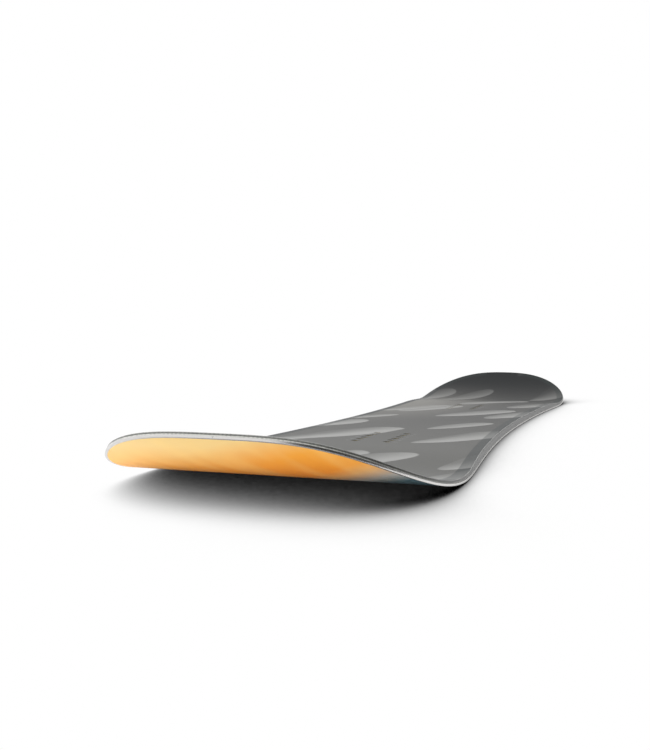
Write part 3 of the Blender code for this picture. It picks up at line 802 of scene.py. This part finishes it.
# Topsheet. A film of polyamide with a satin face, printed from behind in greys before the press, and
# chamfered with a file along its cut side.
TOPSHEET_CHAMFER = 0.00035
CHAMFER_HIGHLIGHT_SLOPES = (0.2, 0.97)  # upward part of the normal of a chamfer face that takes the painted highlight
PLAIN_MIDDLE = 0.016  # its inset
EDGE_BAND = 0.0135  # width of the darker band round the print
BAND_EDGE = 0.0004

# Polyamide film, moulded against a satin sheet: a dark, soft sheen that grows toward grazing light. The
# print shows pale tapered strokes with one soft side, a darker band round the rim, and marks beside the
# inserts. Painted sheen makes its ground paler toward the nose and in a patch, and painted shade darkens the
# tail.
STROKE_SPACING = (0.300, 0.080, 1)
STROKE_TURN = math.radians(-26)
STROKE_REACH = (0.20, 0.46)  # half the size of the smallest and the largest, in spacings
STROKE_TAPER = 1.1  # how much thinner it grows along itself
STROKE_SWAY = 0.35  # in spacings, to either side
SWAYS = 0.9  # to a spacing
STROKE_EDGE = 0.012  # in spacings
STROKE_SIDES = (-0.30, 0.16)  # across a stroke, from its soft side to its full one
SOFT_SIDE = 0.15  # of a stroke's strength there
STROKE_IN_BAND = 0.45  # of its strength where it runs over the band
STROKE_AT_TAIL = 0.1  # of its strength at the end of the tail, where the print and painted shade darken it
MARK_LENGTH = 0.004
MARK_WIDTH = 0.0007
MARK_OUT = 0.0305  # from the board's middle line
PAINTED_SHEEN_MIDDLE = (-0.36, -0.12, 0)  # of a paler patch on the ground: painted sheen
PAINTED_SHEEN_SIZE = (0.50, 0.20, 1)
NOSE_PAINTED_SHEEN = (0.0, 0.40)  # where painted sheen turns the ground paler toward the nose
TAIL_PRINT_AND_SHADE = (-0.46, -0.70)  # where the ground turns darker toward the tail, partly in the print and partly as painted shade
FILM_GRAIN = 0.0009  # 0.1 mm on a real film, drawn coarser so that it shows
FILM_SHADES = (0.88, 1.12)
FILM_RELIEF = 0.000006

film, shader = new_material("polyamide_film_satin", roughness=0.42, ior=1.53)
shader.inputs["Specular IOR Level"].default_value = 0.4
where = add_node(film, "TexCoord").outputs["Object"]
axes = add_node(film, "SeparateXYZ", {0: where})
slanted = add_node(
    film,
    "Mapping",
    {"Vector": where, "Rotation": (0, 0, STROKE_TURN), "Scale": STROKE_SPACING},
    vector_type="TEXTURE",
)
sway = add_node(film, "TexNoise", {"Vector": slanted, "Scale": SWAYS, "Detail": 1})
sway = add_node(film, "Math", {0: sway, 1: 0.5}, operation="SUBTRACT")
sway = add_node(film, "Math", {0: sway, 1: STROKE_SWAY * 2}, operation="MULTIPLY")
sway = add_node(film, "CombineXYZ", {"Y": sway})
swayed = add_node(film, "VectorMath", {0: slanted, 1: sway}, operation="ADD")
cell = add_node(film, "TexVoronoi", {"Vector": swayed, "Scale": 1}, voronoi_dimensions="2D")
local = add_node(film, "VectorMath", {0: swayed, 1: cell.outputs["Position"]}, operation="SUBTRACT")
local = add_node(film, "SeparateXYZ", {0: local})
taper = add_node(film, "Math", {0: local.outputs["X"], 1: STROKE_TAPER, 2: 1.0}, operation="MULTIPLY_ADD")
across = add_node(film, "Math", {0: local.outputs["Y"], 1: taper}, operation="MULTIPLY")
reach = add_node(film, "CombineXYZ", {"X": local.outputs["X"], "Y": across})
reach = add_node(film, "VectorMath", {0: reach}, operation="LENGTH")
chance = add_node(film, "SeparateColor", {0: cell.outputs["Color"]})
size = add_node(
    film, "MapRange", {"Value": chance.outputs["Red"], "To Min": STROKE_REACH[0], "To Max": STROKE_REACH[1]}
)
within = add_node(film, "Math", {0: size, 1: reach.outputs["Value"]}, operation="SUBTRACT")
crisp = add_node(film, "MapRange", {"Value": within, "From Max": STROKE_EDGE})
soft = add_node(
    film,
    "MapRange",
    {"Value": across, "From Min": STROKE_SIDES[0], "From Max": STROKE_SIDES[1], "To Min": SOFT_SIDE},
)
stroke = add_node(film, "Math", {0: crisp, 1: soft}, operation="MULTIPLY")
inset = add_node(film, "Attribute", attribute_name="rim_inset")
past_band = add_node(
    film,
    "MapRange",
    {"Value": inset.outputs["Fac"], "From Min": EDGE_BAND, "From Max": EDGE_BAND + BAND_EDGE},
)
# A paler patch of painted sheen on the film's ground.
around = add_node(
    film,
    "Mapping",
    {"Vector": where, "Location": PAINTED_SHEEN_MIDDLE, "Scale": PAINTED_SHEEN_SIZE},
    vector_type="TEXTURE",
)
around = add_node(film, "VectorMath", {0: around, 1: (1, 1, 0)}, operation="MULTIPLY")
around = add_node(film, "VectorMath", {0: around}, operation="LENGTH")
painted_sheen = add_node(
    film,
    "MapRange",
    {"Value": around.outputs["Value"], "To Min": 1, "To Max": 0},
    interpolation_type="SMOOTHSTEP",
)
nose_painted_sheen = add_node(
    film, "MapRange", {"Value": axes.outputs["X"], "From Min": NOSE_PAINTED_SHEEN[0], "From Max": NOSE_PAINTED_SHEEN[1]}
)
tail_print_and_shade = add_node(
    film, "MapRange", {"Value": axes.outputs["X"], "From Min": TAIL_PRINT_AND_SHADE[0], "From Max": TAIL_PRINT_AND_SHADE[1]}
)
# The film's dark grey ground: paler toward the nose and in a patch by painted sheen, and darker toward the
# tail partly in the print and partly as painted shade.
ground = linear("#3b3b39")
for share, grey in ((nose_painted_sheen, "#50504d"), (painted_sheen, "#76746f"), (tail_print_and_shade, "#202223")):
    ground = add_node(film, "MixRGB", {"Fac": share, "Color1": ground, "Color2": linear(grey)})
ground = add_node(film, "MixRGB", {"Fac": past_band, "Color1": linear("#272c2c"), "Color2": ground})
in_band = add_node(film, "MapRange", {"Value": past_band, "To Min": STROKE_IN_BAND})
# The strokes fade toward the tail with its darker print and painted shade.
at_tail = add_node(film, "MapRange", {"Value": tail_print_and_shade, "To Min": 1, "To Max": STROKE_AT_TAIL})
stroke = add_node(film, "Math", {0: stroke, 1: in_band}, operation="MULTIPLY")
stroke = add_node(film, "Math", {0: stroke, 1: at_tail}, operation="MULTIPLY")
printed = add_node(film, "MixRGB", {"Fac": stroke, "Color1": ground, "Color2": linear("#989896")})
half_field = INSERTS_PER_ROW / 2 * INSERT_PITCH
field = add_node(film, "Math", {0: axes.outputs["X"], 1: STANCE_SETBACK}, operation="ADD")
field = add_node(film, "Math", {0: field}, operation="ABSOLUTE")
field = add_node(film, "Math", {0: field, 1: STANCE_WIDTH / 2}, operation="SUBTRACT")
apart = add_node(film, "Math", {0: field, 1: INSERT_PITCH / 2}, operation="PINGPONG")
in_line = add_node(film, "Math", {0: apart, 1: INSERT_PITCH / 2 - MARK_WIDTH / 2}, operation="GREATER_THAN")
out = add_node(film, "Math", {0: axes.outputs["Y"]}, operation="ABSOLUTE")
beside_row = add_node(film, "Math", {0: out, 1: MARK_OUT, 2: MARK_LENGTH / 2}, operation="COMPARE")
in_field = add_node(film, "Math", {0: field, 1: 0.0, 2: half_field}, operation="COMPARE")
mark = add_node(film, "Math", {0: in_line, 1: beside_row}, operation="MULTIPLY")
mark = add_node(film, "Math", {0: mark, 1: in_field}, operation="MULTIPLY")
printed = add_node(film, "MixRGB", {"Fac": mark, "Color1": printed, "Color2": linear("#b9b9b7")})
grain = add_node(film, "TexNoise", {"Vector": where, "Scale": 1 / FILM_GRAIN, "Detail": 2})
shade = add_node(film, "MapRange", {"Value": grain, "To Min": FILM_SHADES[0], "To Max": FILM_SHADES[1]})
printed = add_node(film, "VectorMath", {0: printed, "Scale": shade}, operation="SCALE")
film.node_tree.links.new(printed.outputs[0], shader.inputs["Base Color"])
bump = add_node(film, "Bump", {"Height": grain, "Distance": FILM_RELIEF})
film.node_tree.links.new(bump.outputs[0], shader.inputs["Normal"])

# The same film on the upward faces of the chamfer, painted pale as a highlight, with the lines of the file
# along the rim.
chamfer_highlight_film = side_cut_plastic("polyamide_film_painted_highlight", "#727271", "#c4c4c2")


def topsheet_underside(x):
    """Height of the topsheet's underside, on the laminate over the core."""
    return core_top(x) + 2 * GLUE_LINE + LAMINATE_THICKNESS


topsheet = lay_sheet(
    offsets=(0, 0.0008, 0.0020, EDGE_BAND - 0.004, PLAIN_MIDDLE),
    side=milled_side,
    underside=lambda x, offset: topsheet_underside(x),
    topside=lambda x, offset: topsheet_underside(x) + TOPSHEET_THICKNESS,
)
round_edges(
    topsheet,
    TOPSHEET_CHAMFER,
    lambda edge: all(vert.co.z > topsheet_underside(vert.co.x) + SEAM for vert in edge.verts),
)
topsheet.normal_update()
# Chamfer faces that turn upward take the pale film: a painted highlight.
for face in topsheet.faces:
    face.material_index = int(CHAMFER_HIGHLIGHT_SLOPES[0] < face.normal.z < CHAMFER_HIGHLIGHT_SLOPES[1])
topsheet_piece = add_piece("topsheet", topsheet, film)
topsheet_piece.data.materials.append(chamfer_highlight_film)
drill_inserts_free(topsheet_piece, PLAIN_MIDDLE)
bpy.data.objects.remove(drills)

# Floor, light and camera. A white floor that shows the board's soft shadow, a bright sky with two dimmer
# places for the rim and the raised ends to mirror, a soft lamp overhead and a wide one before the nose. The
# shadow is drawn from how much of the sky on its near side the board hides from the floor.
FLOOR_RADIUS = 12
FLOOR_DROP = 0.0002  # under the board
FLOOR_BOUNCE = 0.95  # of the light that falls on it
SHADOW_REACH = 0.45  # how far off the board still hides the sky
SHADOW_SIDE = (0.0, -0.5, 0.87)  # where the light that casts it comes from
FAR_SIDE = (0.0, 0.4, 0.9)
FAR_SHARE = 0.3  # of the openness to the far side, taken off the openness to the near one
SHADOW_TONES = (0.09, 0.62)  # what is then left on the darkest floor, and where the floor turns white
SHADOW_SAMPLES = 24
MIRRORED_POWER = 0.5  # pales the shadow where the steel and the base mirror it

floor_edit = bmesh.new()
bmesh.ops.create_circle(floor_edit, cap_ends=True, segments=96, radius=FLOOR_RADIUS)
floor_mesh = bpy.data.meshes.new("floor")
floor_edit.to_mesh(floor_mesh)
floor_edit.free()
floor = bpy.data.objects.new("floor", floor_mesh)
floor.location.z = -FLOOR_DROP
bpy.context.collection.objects.link(floor)

# Matt white floor paint: plain white to the eye, apart from the soft shadow.
floor_paint, _ = new_material("floor_paint", roughness=0.9)
light_path = add_node(floor_paint, "LightPath")
openness = []
for side in (SHADOW_SIDE, FAR_SIDE):
    toward = add_node(floor_paint, "CombineXYZ", dict(zip("XYZ", side)))
    sky_seen = add_node(
        floor_paint, "AmbientOcclusion", {"Distance": SHADOW_REACH, "Normal": toward}, samples=SHADOW_SAMPLES
    )
    openness.append(sky_seen.outputs["AO"])
shadow = add_node(
    floor_paint, "Math", {0: openness[1], 1: -FAR_SHARE, 2: openness[0]}, operation="MULTIPLY_ADD"
)
shadow = add_node(
    floor_paint, "MapRange", {"Value": shadow, "From Min": SHADOW_TONES[0], "From Max": SHADOW_TONES[1]}
)
power = add_node(floor_paint, "Mix", {0: light_path.outputs["Is Glossy Ray"], 2: 1.0, 3: MIRRORED_POWER})
shadow = add_node(floor_paint, "Math", {0: shadow, 1: power}, operation="POWER")
seen = add_node(floor_paint, "Emission", {"Color": shadow})
lit = add_node(floor_paint, "BsdfDiffuse", {"Color": (FLOOR_BOUNCE, FLOOR_BOUNCE, FLOOR_BOUNCE, 1)})
is_seen = add_node(
    floor_paint,
    "Math",
    {0: light_path.outputs["Is Camera Ray"], 1: light_path.outputs["Is Glossy Ray"]},
    operation="MAXIMUM",
)
is_seen = add_node(
    floor_paint, "Math", {0: is_seen, 1: light_path.outputs["Is Transmission Ray"]}, operation="MAXIMUM"
)
paint = add_node(floor_paint, "MixShader", {0: is_seen, 1: lit, 2: seen})
output = floor_paint.node_tree.nodes["Material Output"]
floor_paint.node_tree.links.new(paint.outputs[0], output.inputs["Surface"])
floor_mesh.materials.append(floor_paint)

# The sky lights the board at half strength and is white to the camera. Each dimmer place has its direction,
# the cosines of the angles from it where the sky begins to dim and is dimmest, and the share that is left.
SKY_STRENGTH = 0.5
DIMMER_PLACES = (
    ((0.31, 0.85, 0.42), 0.42, 0.62, 0.07),
    ((-0.60, 0.0, 0.80), 0.65, 1.00, 0.22),
)

scene = bpy.context.scene
scene.view_settings.view_transform = "Standard"
world = bpy.data.worlds.new("studio")
world.use_nodes = True
scene.world = world
sky = world.node_tree.nodes["Background"]
sky.inputs["Color"].default_value = (1, 1, 1, 1)
light_path = add_node(world, "LightPath")
direction = add_node(world, "TexCoord").outputs["Generated"]
brightness = add_node(world, "Mix", {0: light_path.outputs["Is Glossy Ray"], 2: SKY_STRENGTH, 3: 1.0})
for place, edge, full, left in DIMMER_PLACES:
    toward = add_node(world, "VectorMath", {0: direction, 1: place}, operation="DOT_PRODUCT")
    dimmed = add_node(
        world,
        "MapRange",
        {"Value": toward.outputs["Value"], "From Min": edge, "From Max": full, "To Min": 1, "To Max": left},
    )
    brightness = add_node(world, "Math", {0: brightness, 1: dimmed}, operation="MULTIPLY")
is_seen = add_node(
    world,
    "Math",
    {0: light_path.outputs["Is Camera Ray"], 1: light_path.outputs["Is Transmission Ray"]},
    operation="MAXIMUM",
)
strength = add_node(world, "Mix", {0: is_seen, 2: brightness, 3: 1.0})
world.node_tree.links.new(strength.outputs[0], sky.inputs["Strength"])

# Neither lamp shows in the steel, which mirrors the sky and the floor alone.
SUN_STRENGTH = 2.1
SUN_WIDTH = math.radians(50)
SUN_TRAVEL = Vector((-0.20, 0.35, -1))
PANEL_SIZE = (2.4, 0.3)
PANEL_POWER = 69
PANEL_PLACE = Vector((2.4, -0.9, 0.5))
PANEL_AIM = Vector((0.6, 0.0, 0.03))

sun_data = bpy.data.lights.new("overhead", "SUN")
sun_data.energy = SUN_STRENGTH
sun_data.angle = SUN_WIDTH
sun = bpy.data.objects.new("overhead", sun_data)
sun.visible_glossy = False
sun.rotation_euler = SUN_TRAVEL.to_track_quat("-Z", "Y").to_euler()
bpy.context.collection.objects.link(sun)

panel_data = bpy.data.lights.new("front_panel", "AREA")
panel_data.shape = "RECTANGLE"
panel_data.size, panel_data.size_y = PANEL_SIZE
panel_data.energy = PANEL_POWER
panel = bpy.data.objects.new("front_panel", panel_data)
panel.visible_glossy = False
panel.location = PANEL_PLACE
panel.rotation_euler = (PANEL_AIM - PANEL_PLACE).to_track_quat("-Z", "Z").to_euler()
bpy.context.collection.objects.link(panel)

# The camera stands low before the nose and looks back over the board. Its angles are in radians.
CAMERA_PLACE = Vector((1.4322, 0.3238, 0.1389))
CAMERA_YAW = -2.8094
CAMERA_PITCH = -0.0423
CAMERA_ROLL = 0.0088
PICTURE_WIDTH = 650
FOCAL_PIXELS = 956.7
SENSOR = 36

aim = Vector((
    math.cos(CAMERA_YAW) * math.cos(CAMERA_PITCH),
    math.sin(CAMERA_YAW) * math.cos(CAMERA_PITCH),
    math.sin(CAMERA_PITCH),
))
camera_data = bpy.data.cameras.new("camera")
camera_data.sensor_fit = "HORIZONTAL"
camera_data.sensor_width = SENSOR
camera_data.lens = FOCAL_PIXELS * SENSOR / PICTURE_WIDTH
camera_data.clip_end = 60
camera = bpy.data.objects.new("camera", camera_data)
bpy.context.collection.objects.link(camera)
turned = aim.to_track_quat("-Z", "Y").to_matrix() @ Matrix.Rotation(CAMERA_ROLL, 3, "Z")
camera.matrix_world = Matrix.Translation(CAMERA_PLACE) @ turned.to_4x4()
scene.camera = camera
